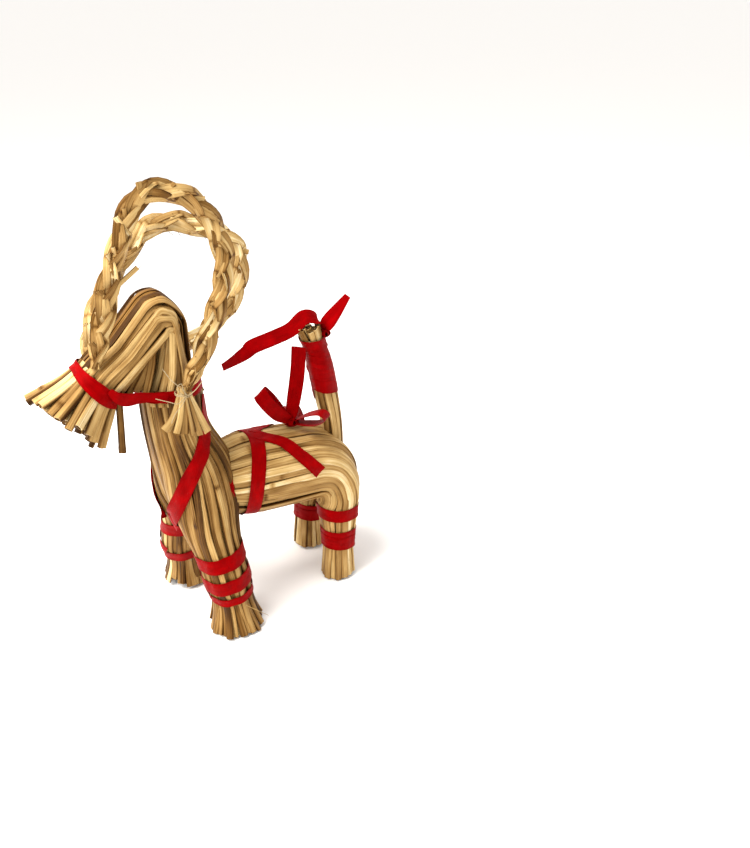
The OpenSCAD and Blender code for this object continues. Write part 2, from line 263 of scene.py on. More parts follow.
def thread_material():
    """Natural linen thread: two twisted plies with loose fuzz."""
    n = Nodes("linen_thread")
    place = n.new("ShaderNodeTexCoord").outputs["Object"]
    twist = n.new(
        "ShaderNodeTexWave",
        {"Vector": place, "Scale": 700.0, "Distortion": 1.5, "Detail": 1.0},
        bands_direction="DIAGONAL",
    ).outputs["Fac"]
    fuzz = n.new("ShaderNodeTexNoise", {"Vector": place, "Scale": 2600.0, "Detail": 3.0}).outputs["Fac"]
    level = n.add(n.times(twist, 0.5), n.times(fuzz, 0.5))
    stops = [(0.2, (0.24, 0.16, 0.07)), (0.6, (0.44, 0.34, 0.19)), (0.9, (0.60, 0.51, 0.34))]
    n.looks({
        "Base Color": n.ramp(level, stops),
        "Roughness": 0.85,
        "Specular IOR Level": 0.2,
        "Normal": n.bump(level, 0.0002, 0.7),
    })
    return n.material


# ---- lines and meshes


def unit(v):
    v = np.asarray(v, float)
    return v / np.maximum(np.linalg.norm(v, axis=-1, keepdims=True), 1e-9)


def smooth(points, steps):
    """A Catmull-Rom curve through rows of numbers."""
    p = np.asarray(points, float)
    p = np.vstack([p[:1], p, p[-1:]])
    t = np.linspace(0, 1, steps, endpoint=False)[:, None]
    rows = [
        0.5 * (2 * b + (c - a) * t + (2 * a - 5 * b + 4 * c - d) * t**2 + (3 * b - a - 3 * c + d) * t**3)
        for a, b, c, d in zip(p, p[1:], p[2:], p[3:])
    ]
    return np.vstack([*rows, p[-1:]])


def lengths(path):
    return np.concatenate([[0], np.cumsum(np.linalg.norm(np.diff(path, axis=0), axis=1))])


def resample(path, places, *others):
    """The path, and rows that go with it, at the given distances along it."""
    s = lengths(path)
    return [np.stack([np.interp(places, s, col) for col in np.transpose(rows)], 1) for rows in (path, *others)]


def rounded(corners):
    """A line through corner points, a point each millimetre, with each corner rounded off."""
    s = lengths(corners)
    (p,) = resample(corners, np.linspace(0, s[-1], max(4, int(s[-1]) + 1)))
    for _ in range(2):
        padded = np.vstack([2 * p[0] - p[1], p, 2 * p[-1] - p[-2]])
        p = np.stack([np.convolve(col, np.ones(3) / 3, "valid") for col in padded.T], 1)
    return p


def place(points, behind):
    """From mm in the goat's own frame to metres in the row frame. What stands behind the neck turns."""
    p = np.array(points, float)
    if behind:
        c, s = cos(-BODY_YAW), sin(-BODY_YAW)
        p[:, :2] = p[:, :2] @ np.array([[c, s], [-s, c]])
    p[:, 1] -= Y_MIDDLE
    return p * MM


class Heap:
    """The mesh of one piece: tubes of rings, with each point's lie and tone."""

    def __init__(self):
        self.points, self.lie, self.tone, self.faces, self.count = [], [], [], [], 0

    def tube(self, rings, lie, tone, loop=False):
        rings = np.asarray(rings, float)
        n, m = rings.shape[:2]
        grid = self.count + np.arange(n * m).reshape(n, m)
        ahead = np.vstack([grid, grid[:1]]) if loop else grid
        side = np.roll(ahead, -1, axis=1)
        quads = np.stack([ahead[:-1], side[:-1], side[1:], ahead[1:]], -1).reshape(-1, 4)
        self.faces += quads.tolist()
        if not loop:
            self.faces += [grid[0][::-1].tolist(), grid[-1].tolist()]
        self.points.append(rings.reshape(-1, 3))
        self.lie.append(np.asarray(lie, float).reshape(-1, 3))
        self.tone.append(np.asarray(tone, float).reshape(-1, 3))
        self.count += n * m

    def piece(self, name, material, node, slot, behind=False, sharp=52):
        """Makes the piece that stands for a CAD node. Its edges are sharp from an angle of sharp degrees."""
        mesh = bpy.data.meshes.new(name)
        mesh.from_pydata(place(np.vstack(self.points), behind).tolist(), [], self.faces)
        for key, rows in (("lie", self.lie), ("tone", self.tone)):
            made = mesh.attributes.new(key, "FLOAT_VECTOR", "POINT")
            made.data.foreach_set("vector", np.vstack(rows).astype(np.float32).ravel())
        mesh.shade_smooth()
        mesh.set_sharp_from_angle(angle=radians(sharp))
        mesh.materials.append(material)
        mesh.validate()
        made = linked(name, mesh)
        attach(made, "root")
        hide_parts(node)
        return made


# ---- one straw

STRAW_SIDES = 12
CREASE = 1.5  # half the length of a fold pressed into a flat straw
WALL = 0.74  # inside of a straw's cut end, as a share of its outside
BORE = 6.0  # how deep the cut end is open


def toned(mean, spread, most=1):
    """The shade of one straw, from 0 for the darkest to 1."""
    return np.clip(rng.normal(mean, spread), 0, most)


def straw(heap, path, out, width, thick, cut=(False, True), trim=(0.0, 0.0), roll=0.0, joint=None, shade=None,
          step=2.6, pinch=0.0, split=None, wave=0.45, taper=(1.0, 1.0), both=False, creases=()):
    """One straw along path, flattened with its flat side towards out. cut says which ends are cut open, and
    creases where it is folded. split is (other heap, distance): it goes on in the other piece from there."""
    total = lengths(path)[-1]
    places = np.linspace(trim[0], total - trim[1], max(4, int((total - sum(trim)) / step) + 1))
    if len(creases):
        kept = places[np.min(abs(places[:, None] - creases), 1) > 2.4]
        more = np.concatenate([creases - CREASE, creases, creases + CREASE])
        more = more[(more > places[0] + 0.5) & (more < places[-1] - 0.5)]
        places = np.unique(np.concatenate([places[[0, -1]], kept, more]))
    p, o = resample(path, places, out)
    run = places / max(total, 1)
    ahead = unit(np.gradient(p, axis=0))
    bend = np.linalg.norm(np.gradient(ahead, axis=0), axis=1) / max(np.gradient(places)[0], 1e-6)
    side = unit(np.cross(ahead, o))
    o = np.cross(side, ahead)
    # it doesn't lie quite straight
    phase = uniform(0, 2 * pi, 4)
    p = p + side * (wave * np.sin(places / 17 + phase[0]))[:, None]
    p = p + o * (0.5 * wave * np.sin(places / 23 + phase[1]))[:, None]
    turn = radians(roll) + 0.10 * np.sin(places / 31 + phase[2])
    side, o = (
        side * np.cos(turn)[:, None] + o * np.sin(turn)[:, None],
        o * np.cos(turn)[:, None] - side * np.sin(turn)[:, None],
    )
    crush = np.clip(pinch * bend, 0, 0.45)
    ends = taper[0] + (taper[1] - taper[0]) * run
    swell = 1 + 0.04 * np.sin(places / 9 + phase[3])
    # darker joints are the straw's own colour; the darkening at the creases (folded) is painted shade
    joint_tone_and_fold_shade = np.zeros(len(p))
    if joint is not None:
        near = np.exp(-(((places - joint) / 1.3) ** 2))
        swell, joint_tone_and_fold_shade = swell + 0.14 * near, 0.45 * near
    folded = sum(np.exp(-(((places - c) / 1.2) ** 2)) for c in creases)
    joint_tone_and_fold_shade, swell = joint_tone_and_fold_shade + 0.42 * folded, swell - 0.12 * folded
    half_w = 0.5 * width * swell * ends * (1 + 0.5 * crush)
    half_t = 0.5 * thick * swell * (1 - crush)
    angle = np.arange(STRAW_SIDES) * 2 * pi / STRAW_SIDES
    flat_x, flat_y = (np.sign(v) * np.abs(v) ** 0.8 for v in (np.cos(angle), np.sin(angle)))
    flat_y = flat_y * (1 - uniform(0, 0.35) * np.exp(-((flat_x - uniform(-0.25, 0.25)) / 0.35) ** 2))
    profile = 1 + sum(
        amount * np.cos(k * angle + uniform(0, 2 * pi)) for k, amount in ((2, 0.04), (3, 0.06), (5, 0.05))
    )
    ring = side[:, None] * (half_w[:, None] * flat_x * profile)[..., None]
    ring = ring + o[:, None] * (half_t[:, None] * flat_y * profile)[..., None]
    height = abs(np.sin(angle)) if both else np.sin(angle)
    shadow = 0.85 * np.clip(0.62 - height, 0, 1)
    shade = toned(0.52, 0.19) if shade is None else shade
    seed = uniform()
    rim = 0.5 * (width + thick) / 2
    around = np.stack([np.cos(angle) * rim, np.sin(angle) * rim], 1)

    # pale is a painted highlight on the rim of a cut end; deep tells the material where to paint shade inside
    # the bore
    def rows(k, scale=1.0, deep=0.0, shift=0.0, pale=0.0):
        tint = np.clip(shade - joint_tone_and_fold_shade[k] - shadow, 0, 1) + pale
        lie = [around, np.full(STRAW_SIDES, places[k] + shift)]
        tone = [tint, np.full(STRAW_SIDES, seed), np.full(STRAW_SIDES, deep)]
        return p[k] + ahead[k] * shift + ring[k] * scale, np.column_stack(lie), np.column_stack(tone)

    def tube(into, first, last, open_first, open_last):
        bore = min(BORE, 0.4 * (places[last] - places[first]))
        out_rows = []
        if open_first:
            out_rows += [rows(first, 0.5, 1.0, bore), rows(first, WALL, 0.75, 0.8), rows(first, WALL, pale=0.4)]
        out_rows += [rows(k) for k in range(first, last + 1)]
        if open_last:
            out_rows += [rows(last, WALL, pale=0.4), rows(last, WALL, 0.75, -0.8), rows(last, 0.5, 1.0, -bore)]
        into.tube(*(np.array(part) for part in zip(*out_rows)))

    if split is None:
        tube(heap, 0, len(p) - 1, *cut)
    else:
        k = int(np.argmin(abs(places - split[1])))
        tube(heap, 0, k, cut[0], False)
        tube(split[0], k, len(p) - 1, False, cut[1])


# ---- the sheaves' cross sections

# [x, y, z, tilt, half width, half depth] as in part.scad, from the top down or from the front back
NECK_R, MUZZLE_R, MUZZLE_TILT = 19.0, 15.0, 128.0
MUZZLE = np.array([0.0, -54.0, 189.0])
FRONT_STEP = 3.0
FRONT_STANCE = 34.0
BODY_R = 28.5
BEND_GAP = 1.5
HEAD_PIVOT = (-14.0, 208.0)
RUMP_PIVOT = (80.0, 60.5)


def front_sections(side):
    step = side * FRONT_STEP
    return [
        [0, -12, 178, 0, NECK_R - 0.6, NECK_R - 0.6],
        [0, -12, 171, 0, NECK_R, NECK_R],
        [1, -11, 147, 0, NECK_R + 0.5, NECK_R + 0.5],
        [5, -4.5, 120, 0, 21, 23.5],
        [12, -3, 95, 0, 18.5, 22.5],
        [17.5, -3, 76, 0, 16.2, 19],
        [22, step * 0.3 - 3, 62, 0, 15, 16.5],
        [26, step * 0.7 - 3, 50, 0, 15, 15.5],
        [28.5, step - 2.5, 36, 0, 15, 15.5],
        [31, step - 1, 22, 0, 13.5, 13.5],
        [FRONT_STANCE, step, 0, 0, 17, 17],
    ]


def fan_section(x, pivot, tilt, depth, half_w):
    mid, a = BEND_GAP + depth / 2, radians(tilt)
    return [x, pivot[0] + mid * cos(a), pivot[1] + mid * sin(a), tilt, half_w, depth / 2]


BODY_SECTIONS = [
    [0, 12, 96.5, 90, 23, 23],
    [0, 20, 96, 90, BODY_R - 3, BODY_R - 3],
    [0, 34, 95, 90, BODY_R, BODY_R],
    [0, 60, 92, 90, BODY_R, BODY_R],
    [0, 79.5, 89.5, 90, BODY_R - 0.5, BODY_R - 0.5],
]
HIND_SECTIONS = [
    fan_section(3, RUMP_PIVOT, 65, 49, 24.5),
    fan_section(9, RUMP_PIVOT, 40, 41, 19),
    fan_section(14, RUMP_PIVOT, 15, 34, 16.5),
    [17, 96, 56, 0, 14.5, 14.5],
    [20, 94.5, 44, 0, 12.5, 13],
    [22, 93, 30, 0, 11, 11],
    [22.5, 92.5, 22, 0, 11, 11],
    [23, 92, 0, 0, 12.5, 12.5],
]
TAIL_SECTIONS = [
    [-1, 103, 97, 0, 8.5, 8.5],
    [-1, 102, 118, 0, 8.5, 8.5],
    [-1, 98, 142, 0, 9, 9],
    [-1, 94.5, 162, 0, 9, 9],
    [-1, 91.5, 176, 0, 8, 8],
    [-1, 86, 191, 0, 9.5, 9.5],
]
BEARD_SECTIONS = [
    [0, -50.5, 192, MUZZLE_TILT, MUZZLE_R, MUZZLE_R],
    [0, -54.6, 188.4, MUZZLE_TILT, MUZZLE_R, MUZZLE_R],
    [0, -63, 178.5, 134, 19, 20],
    [0, -76, 162.5, 139, 24, 29],
]


def in_sheaf(sections, angle, inset):
    """A line that keeps its place in a sheaf's cross sections, and the way out of the sheaf along it."""
    x, y, z, tilt, wide, deep = np.asarray(sections, float).T
    a, t = np.radians(angle) * np.ones(len(x)), np.radians(tilt)
    wide_in, deep_in = np.maximum(wide - inset, 0.4), np.maximum(deep - inset, 0.4)
    v = deep_in * np.sin(a)
    p = np.stack([x + wide_in * np.cos(a), y + v * np.cos(t), z + v * np.sin(t)], 1)
    ox, ov = np.cos(a) / wide_in, np.sin(a) / deep_in
    return p, unit(np.stack([ox, ov * np.cos(t), ov * np.sin(t)], 1))


def half_spread(sections, angle):
    """The angle of a half sheaf's straw in each cross section: where the sections are cut off at the goat's
    middle, the same straws share the part of the outline that is left."""
    s = np.asarray(sections, float)
    share = np.degrees(np.arccos(np.clip(-s[:, 0] / s[:, 4], -1, 1))) / 180
    return angle * share


def ring_angles(count, jitter):
    step = 360 / count
    return [(k + 0.5) * step - 180 + uniform(-jitter, jitter) * step for k in range(count)]


# ---- straw pieces


def front_leg(side):
    """Half of the front sheaf: straws from the neck tie down the chest into one leg, cut off at the floor."""
    heap = Heap()
    base = smooth(front_sections(side), 7)
    share = np.interp(base[:, 2], [50, 62, 76, 95, 120, 150], [1, 0.96, 0.86, 0.7, 0.56, 0.5])
    for layer, (count, inset, top) in enumerate([(25, 1.4, 0), (18, 4.2, 0), (12, 7.2, 60), (6, 10.5, 90)]):
        for angle in ring_angles(count, 0.22):
            drift = uniform(-7, 7) * np.linspace(-0.5, 0.5, len(base))
            path, out = in_sheaf(base, angle * share + drift, inset + uniform(-1.0, 0.7))
            path[:, 0] = np.maximum(path[:, 0], 1.6)
            path[:, :2] += out[:, :2] * (uniform(0, 3.4) * np.clip(1 - path[:, 2] / 22, 0, 1) ** 2)[:, None]
            path[:, 0] *= side
            out[:, 0] *= side
            width = uniform(4.0, 5.8) if layer == 0 else uniform(4.0, 5.2)
            uneven = 0.9 + uniform(0, 2.4) * (0.5 if layer else 1)
            if side == RIGHT:  # cut shorter in front
                uneven += uniform(1.5, 5.5) * max(0, -sin(radians(angle + 20)))
            straw(heap, path, out, width, uniform(1.9, 2.9), trim=(top, uneven),
                  roll=uniform(-20, 20), taper=(0.85, 1.1), shade=toned(0.36, 0.14),
                  joint=uniform(30, 160) if uniform() < 0.3 else None)
    return heap


def head_depth(tilt):
    return np.interp(tilt, [10, 45, 70, 92, 112, 128], [15, 16.5, 21, 27.5, 26, 24])


def head():
    """The front sheaf's straws above the neck tie, folded over at the crown and tied at the muzzle."""
    heap = Heap()
    for count, inset in ((24, 1.3), (18, 4.2), (9, 7.6)):
        for angle in ring_angles(count, 0.15):
            a = radians(angle)
            high = sin(a)
            rise = (high + 1) / 2
            if high > 0.72:
                corners = [40, 66, 88, 108]
            elif high > -0.3:
                corners = [56 + 26 * rise + uniform(-7, 7), 93 + 16 * rise + uniform(-7, 7)]
            else:
                corners = [72 + uniform(-8, 8)]
            stops = [[0, -12, 168, 0, 18.8, 18.8], [0, -12, 174, 0, 18.5, 18.5], [0, -10, 188, 0, 17.6, 12.4]]
            stops += [fan_section(0, HEAD_PIVOT, t, head_depth(t) + 1.2, 18) for t in corners]
            stops += [
                [0, -37, 203, MUZZLE_TILT, 16.8, 13.4],
                [0, -50, 192.5, MUZZLE_TILT, MUZZLE_R + 0.2, MUZZLE_R],
                [0, -56, 187, MUZZLE_TILT, MUZZLE_R, MUZZLE_R],
            ]
            drift = uniform(-4, 4) * np.linspace(0, 1, len(stops))
            line, out = in_sheaf(stops, angle + drift, inset + uniform(-1.2, 0.9))
            path = rounded(line)
            s = lengths(path)
            places = lengths(line) / lengths(line)[-1] * s[-1]
            out = unit(np.stack([np.interp(s, places, col) for col in out.T], 1))
            straw(heap, path, out, uniform(3.7, 5.2), uniform(1.9, 2.9), cut=(False, False), step=1.2,
                  roll=uniform(-16, 10), pinch=2.4, wave=0.25,
                  shade=toned(0.31 if high > 0.5 else 0.58, 0.16))
    for x in np.linspace(-13.5, 13.5, 14):  # short straws that fill the throat down to the halter
        low = uniform(-42, -30)
        middle = [0.85 * x, -26 + 0.35 * (low + 36), 196]
        line = smooth([[0.7 * x, -22, 211], middle, [x, low, uniform(178, 181)]], 8)
        straw(heap, line, np.tile([np.sign(x) * 0.9, -0.4, 0.1], (len(line), 1)), uniform(3.8, 5.2), 2.4,
              roll=uniform(-25, 25), shade=uniform(0.1, 0.5))
    return heap


def beard():
    """Cut straw ends that spread out below the muzzle tie."""
    heap = Heap()
    for layer, (count, inset) in enumerate([(22, 1.5), (17, 4.8), (11, 8.4), (6, 12.0)]):
        for angle in ring_angles(count, 0.3):
            near = cos(radians(angle - 44)) * (1 - inset / 24)
            grow = np.array([1, 1, 1.25, 1.55]) if layer else np.ones(4)
            path, out = in_sheaf(BEARD_SECTIONS, angle + np.array([0, 0, 1, 2]) * uniform(-4, 4), inset * grow)
            lean = rng.normal(0, 1.6, 3)
            path = path + np.array([0, 0, 0.35, 1.0])[:, None] * lean
            rear = max(0, -sin(radians(angle))) ** 2
            path[-1] += out[-1] * uniform(2.5, 6.5) * (0.8 + 0.5 * near - 2.1 * rear)
            path[-2] -= out[-2] * 1.5 * rear
            short = max(0, 5.2 * (1 + near) + uniform(-2.5, 1.2))
            straw(heap, smooth(path, 5), np.repeat(out, [5, 5, 5, 1], 0), uniform(4.3, 5.8), uniform(3.0, 4.4),
                  trim=(1.2 + 4.4 * max(0, cos(radians(angle))), short),
                  roll=uniform(-35, 35), wave=0.3, taper=(1, 1.12),
                  joint=uniform(14, 38) if uniform() < 0.22 else None,
                  shade=toned(0.62, 0.18, 0.85))
    return heap


def beard_long_straw():
    heap = Heap()
    top, foot = np.array([11.5, -47, 186]), np.array([12, -50.5, 144.5])
    path = top + (foot - top) * np.linspace(0, 1, 8)[:, None]
    straw(heap, path, np.tile([0.9, -0.3, 0], (8, 1)), 4.3, 3.8, wave=0.2, shade=0.12,
          joint=lengths(path)[-1] - 1.5)
    return heap


def body_and_hind_legs():
    """Straws laid lengthwise, which bend down at the rump and divide into the two hind legs."""
    body, legs = Heap(), {LEFT: Heap(), RIGHT: Heap()}
    barrel = smooth(BODY_SECTIONS, 8)
    for side in (LEFT, RIGHT):
        bend = smooth([BODY_SECTIONS[-2], BODY_SECTIONS[-1], *HIND_SECTIONS], 6)[6:]
        for layer, (count, inset) in enumerate([(18, 1.4), (13, 4.3), (8, 7.4), (3, 10.0)]):
            for angle in ring_angles(count, 0.2):
                off = inset + uniform(-0.9, 0.7)
                drift = np.linspace(uniform(-7, 7), 0, len(barrel))
                first, out_first = in_sheaf(barrel, angle / 2 + drift, off)
                second, out_second = in_sheaf(bend, half_spread(bend, angle), off)
                path = np.vstack([first, second[1:]])
                out = np.vstack([out_first, out_second[1:]])
                path[:, 0] = np.maximum(path[:, 0], 1.6)
                path[:, 0] *= side
                out[:, 0] *= side
                width = uniform(4.6, 6.4) if layer == 0 else uniform(4.2, 5.4)
                straw(body, path, out, width, uniform(1.9, 2.9),
                      trim=(0, uniform(0.3, 2.6)), roll=uniform(-18, 18), taper=(1.05, 0.82), pinch=0.8,
                      shade=toned(0.62, 0.13),
                      joint=uniform(15, 60) if uniform() < 0.3 else None,
                      split=(legs[side], lengths(first)[-1]))
    return body, legs


def tail():
    heap = Heap()
    base = smooth(TAIL_SECTIONS, 6)
    for count, inset in ((10, 1.4), (5, 4.2)):
        for angle in ring_angles(count, 0.2):
            path, out = in_sheaf(base, angle, inset + 0.6 + uniform(-0.4, 0.4))
            straw(heap, path, out, uniform(4.0, 5.4), uniform(2.2, 3.2), cut=(True, True),
                  trim=(0, uniform(-3, 5)), roll=uniform(-12, 12), taper=(1, 1.1))
    return heap


# Centre lines of the horns, from the muzzle tie over the head to the neck
LEFT_HORN = [
    [10, -57, 201], [13, -52, 222], [15.5, -44.5, 246], [18, -36, 270], [19.5, -26, 290], [20, -13, 296],
    [20, 3, 291], [20, 14, 281], [20, 21, 266], [20, 23, 249], [20, 19, 232], [21.5, 9, 210], [24, -3, 190],
    [25, -13, 179],
]
RIGHT_HORN = [
    [-9, -56, 197], [-12, -47, 222], [-14, -35, 241], [-15.5, -19, 257], [-16, -4, 268], [-16, 11, 268],
    [-15, 24, 263], [-14, 39, 256], [-14, 49, 243], [-14, 48, 226], [-15, 40, 209], [-18, 26, 197],
    [-21, 14, 188], [-24, 6, 180],
]
PLAIT_PITCH, PLAIT_SIDE, PLAIT_DEPTH = 62.0, 4.0, 2.0
ZIGZAG = 0.995  # 0 swings as a sine, 1 in straight lines with sharp turns


def horn_frame(line):
    p = smooth(line, 24)
    s = lengths(p)
    p, = resample(p, np.arange(0, s[-1], 1.0))
    ahead = unit(np.gradient(p, axis=0))
    out = unit(np.array([1.0, 0, 0]) - ahead[:, :1] * ahead)
    return p, ahead, out, np.cross(ahead, out)


def horn_strand(line, number):
    """One strand of a three-strand plait: flat straws side by side, which run slantwise across the plait and
    fold over sharply at its edges."""
    heap = Heap()
    p, _, out, over = horn_frame(line)
    s = np.arange(len(p))
    tight = np.clip(np.minimum(s, s[-1] - s) / 14, 0.35, 1)
    for across_by, width, late in ((-1.9, 4.4, 0.0), (1.8, 4.8, 0.16), (uniform(-0.6, 0.6), 3.0, -0.14)):
        a = 2 * pi * s / PLAIT_PITCH + radians(120 * number) + late
        a = a + 0.12 * np.sin(s / 23 + uniform(0, 6))
        wave = np.sin(a)
        swing = np.arcsin(ZIGZAG * wave) / asin(ZIGZAG) * (1 + 0.17 * np.sin(s / 13 + 2.1 * number))
        centre = p + (tight * PLAIT_SIDE * swing)[:, None] * over
        centre = centre + (tight * PLAIT_DEPTH * np.sin(2 * a))[:, None] * out
        lean = 0.6 * wave
        front = out * np.cos(lean)[:, None] + over * np.sin(lean)[:, None]
        across = unit(np.cross(unit(np.gradient(centre, axis=0)), front))
        gather = tight * (1 - 0.45 * np.abs(wave) ** 8)
        path = centre + across * (across_by * gather)[:, None]
        path = path + front * (uniform(-0.2, 0.5) + 0.3 * np.sin(s / 12 + uniform(0, 6)))[:, None]
        far = np.abs(wave)
        folds = lengths(path)[1:-1][(far[1:-1] > far[:-2]) & (far[1:-1] >= far[2:])]
        straw(heap, path, front, width + uniform(-0.6, 0.6), uniform(0.9, 1.3), step=4.5,
              trim=(0, uniform(0, 2)), roll=uniform(-16, 16), wave=0.1, both=True, creases=folds,
              shade=toned(0.58, 0.18, 0.85))
    return heap


def horn_stray(heap, line, k, lean, length, width):
    """A straw's end that sticks out of the plait, k mm along it and turned out of its edge by lean."""
    p, ahead, out, over = horn_frame(line)
    go = unit(ahead[k] * cos(lean) + over[k] * sin(lean))
    start = p[k] - go * 4
    path = start + go * np.linspace(0, length + 4, 6)[:, None] + out[k] * np.linspace(0, 1.2, 6)[:, None]
    straw(heap, path, np.tile(out[k], (6, 1)), width, 1.1, wave=0.3, roll=uniform(-30, 30))


def horn_fibre(heap, line, k, lean, length):
    """A split fibre that stands off the plait and bends along it."""
    p, ahead, _, over = horn_frame(line)
    go = ahead[k] * cos(lean) + over[k] * sin(lean)
    t = np.linspace(0, 1, 5)[:, None]
    sliver(heap, p[k] + over[k] * 3 + go * length * t + ahead[k] * 0.35 * length * t**2)


LEFT_TUFT = [[25, -13, 179, 0, 4.5, 4.5], [25, -14, 172, 0, 5.5, 9], [25.5, -15, 152, 0, 5, 14.5]]
RIGHT_TUFT = [[24, 6, 180, 0, 4.5, 4.5], [24.5, 6, 173, 0, 5.5, 9], [25.5, 5, 152, 0, 5, 15]]


def horn_tuft(sections, side):
    """The plait's loose ends, flat and spread out below the tie."""
    heap = Heap()
    count = 15
    top, low = np.array(sections[0]), np.array(sections[-1])
    for k in range(count):
        spread = (k + 0.5) / count * 2 - 1 + uniform(-0.08, 0.08)
        depth = uniform(-0.7, 0.9)
        start = top[:3] + [depth * 1.6, spread * 3.0, 4]
        waist = top[:3] + [depth * 1.5, spread * 2.6, 0]
        middle = (top[:3] + low[:3]) / 2 + [depth * 2.6 + 0.8, spread * 8.0, 0]
        drop = 7.0 * max(0, -spread) - 1.5 * max(0, spread) + uniform(-1.5, 2.5)
        end = low[:3] + [depth * 3.2 + 1.0, spread * 14.5, drop]
        path = smooth([start, waist, middle, end], 5) * [side, 1, 1]
        out = np.tile([side * 1.0, spread * 0.35, 0.1], (len(path), 1))
        straw(heap, path, out, uniform(3.2, 4.8), uniform(0.9, 1.4), wave=0.25, both=True,
              roll=uniform(-28, 28), taper=(0.62, 1.12), step=2.0, shade=toned(0.42, 0.22))
    return heap


def sliver(heap, points, width=0.45):
    """A split fibre of straw that stands off."""
    path = smooth(points, 5)
    straw(heap, path, np.tile([0.3, 0.2, 1], (len(path), 1)), width, width * 0.6, cut=(False, False), wave=0.1,
          step=1.5, taper=(1, 0.4))


# ---- ribbon

RIBBON_W, RIBBON_T = 10.0, 0.32
CLEAR = 0.28  # from the straw to the middle of the ribbon
COLUMNS = 9


def ribbon(heap, grid, loop=False):
    """A ribbon whose surface goes through a grid of points, rows along it and columns across it. Gives its
    length in mm."""
    grid = np.asarray(grid, float)
    n, m = grid.shape[:2]
    if loop:
        along = (np.roll(grid, -1, 0) - np.roll(grid, 1, 0)) / 2
    else:
        along = np.gradient(grid, axis=0)
    up = unit(np.cross(along, np.gradient(grid, axis=1))) * RIBBON_T / 2
    middle = grid[:, m // 2]
    s = lengths(np.vstack([middle, middle[:1]]) if loop else middle)
    across = lengths(grid.mean(0))
    share = np.linspace(-1, 1, m)
    seed = uniform()
    fade = 1 - 0.35 * np.abs(share) ** 8
    rings = np.concatenate([grid + up * fade[:, None], (grid - up * fade[:, None])[:, ::-1]], 1)
    columns = np.concatenate([across, across[::-1]])
    edge = np.tile(np.abs(share) ** 10, 2)
    lie = np.stack(np.broadcast_arrays(columns[None, :], 0.0, s[:n, None]), -1)
    tone = np.stack(np.broadcast_arrays(0.5, seed, edge[None, :] + 0 * s[:n, None]), -1)
    heap.tube(rings, lie, tone, loop=loop)
    return s[-1]


def drawn_taut(radii, loop):
    """Each row of radii takes the largest of the rows about it, and then the rows are blurred."""
    rows = np.arange(len(radii))

    def shifted(values, k):
        return values[(rows - k) % len(rows) if loop else np.clip(rows - k, 0, len(rows) - 1)]

    most = np.max([shifted(radii, k) for k in range(-2, 3)], 0)
    weights = np.exp(-0.5 * np.arange(-2, 3) ** 2)
    return sum(w * shifted(most, k) for w, k in zip(weights / weights.sum(), range(-2, 3)))


def laid(heap, tree, centre, across, foot, width, loop=False, extra=0.0, pleat=0.2):
    """Ribbon drawn tight over straw. Each point of it lies where the line from its foot on the sheaf's axis
    leaves the straw. Gives its length in mm."""
    centre, across = np.asarray(centre, float), unit(across)
    n = len(centre)
    share = np.linspace(-1, 1, COLUMNS)
    offsets = share * np.broadcast_to(width, n)[:, None] / 2
    feet, away, radius = np.zeros((n, COLUMNS, 3)), np.zeros((n, COLUMNS, 3)), np.zeros((n, COLUMNS))
    for k in range(n):
        for j, offset in enumerate(offsets[k]):
            q = centre[k] + across[k] * offset
            f = foot(q)
            d = q - f
            r = np.linalg.norm(d)
            d /= r
            hit = tree.ray_cast(Vector(f + d * 70), Vector(-d), 68)[0]
            found = r if hit is None else float(np.linalg.norm(np.array(hit) - f))
            feet[k, j], away[k, j], radius[k, j] = f, d, min(max(found, r - 3.0), r + 3.5)
    radius = drawn_taut(radius, loop)
    radius = 0.5 * radius + 0.5 * np.max([radius, np.roll(radius, 1, 1), np.roll(radius, -1, 1)], 0)
    radius[:, 1:-1] = (radius[:, :-2] + 2 * radius[:, 1:-1] + radius[:, 2:]) / 4
    along, phase = 2 * pi * np.arange(n) / n, uniform(0, 6, 2)
    ridge = 0.7 * np.sin((2 if loop else 1) * along + phase[0])
    crest = np.exp(-(((share - ridge[:, None]) / 0.28) ** 2))
    fold = pleat * (0.6 + 0.4 * np.sin(3 * along + phase[1]))[:, None] * crest
    grid = feet + away * (radius + CLEAR + extra + fold)[..., None]
    return ribbon(heap, grid, loop)


def free(heap, points, across, widths, crown=0.0):
    """Ribbon that hangs free along points. across is its width's direction, at each point or for all."""
    p = smooth(points, 10)
    w = smooth(np.broadcast_to(np.asarray(across, float), (len(points), 3)), 10)
    widths = smooth(np.asarray(widths, float)[:, None], 10)
    ahead = unit(np.gradient(p, axis=0))
    w = unit(w - (w * ahead).sum(1)[:, None] * ahead)
    up = np.cross(ahead, w)
    share = np.linspace(-1, 1, COLUMNS)
    grid = p[:, None] + w[:, None] * (widths * share / 2)[..., None]
    grid = grid - up[:, None] * (crown * share**2)[None, :, None]
    return ribbon(heap, grid)


def section_at(sections, z):
    """x, y, half width and half depth of a sheaf at a height."""
    s = np.asarray(sections, float)
    s = s[np.argsort(s[:, 2])]
    return [np.interp(z, s[:, 2], s[:, c]) for c in (0, 1, 4, 5)]


def leg_foot(sections, side):
    def foot(q):
        x, y, _, _ = section_at(sections, q[2])
        return np.array([side * x, y, q[2]])

    return foot


